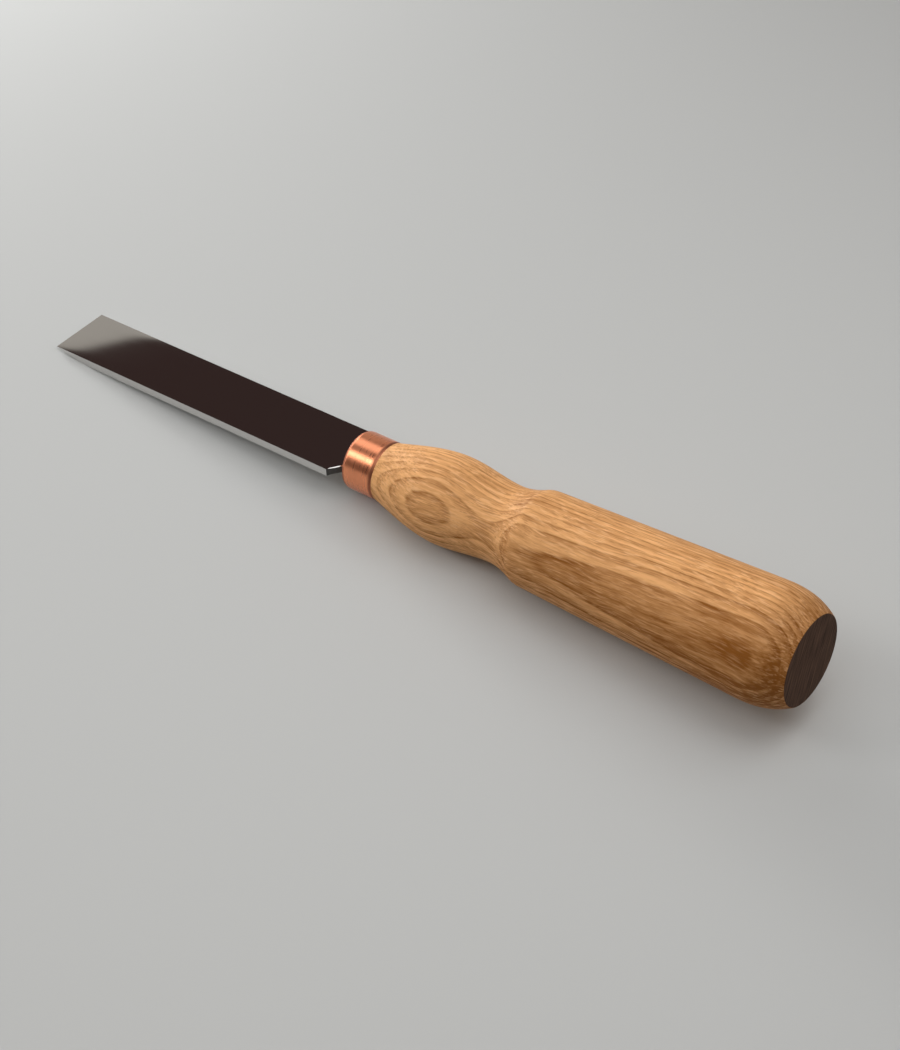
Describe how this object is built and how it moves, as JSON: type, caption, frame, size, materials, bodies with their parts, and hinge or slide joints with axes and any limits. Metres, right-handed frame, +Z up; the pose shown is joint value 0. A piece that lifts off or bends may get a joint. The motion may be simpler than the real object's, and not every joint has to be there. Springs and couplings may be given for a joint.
{
  "type": "flat carving chisel",
  "caption": "Flat carving chisel with a polished straight blade, copper ferrule and turned oak handle with a waisted grip, lying on its bevel and bulb.",
  "frame": {"origin": "on the bench under the middle of the chisel as it lies on its bevel and its bulb", "axes": "+X from the cutting edge towards the butt, +Y to the left of the blade seen from the butt, +Z up"},
  "size_m": [0.2602, 0.0334, 0.0392],
  "materials": {
    "blade_steel": "mirror-polished tool steel with fine polishing lines",
    "copper": "bright turned copper tube, polished, with fine turning lines",
    "oak": "turned oak with an oiled satin surface and a dark stained butt face",
    "resin": "cured casting resin"
  },
  "bodies": {
    "root": {"blade": "blade_steel", "ferrule": "copper", "handle": "oak", "tang_bedding": "resin"}
  },
  "joints": []
}
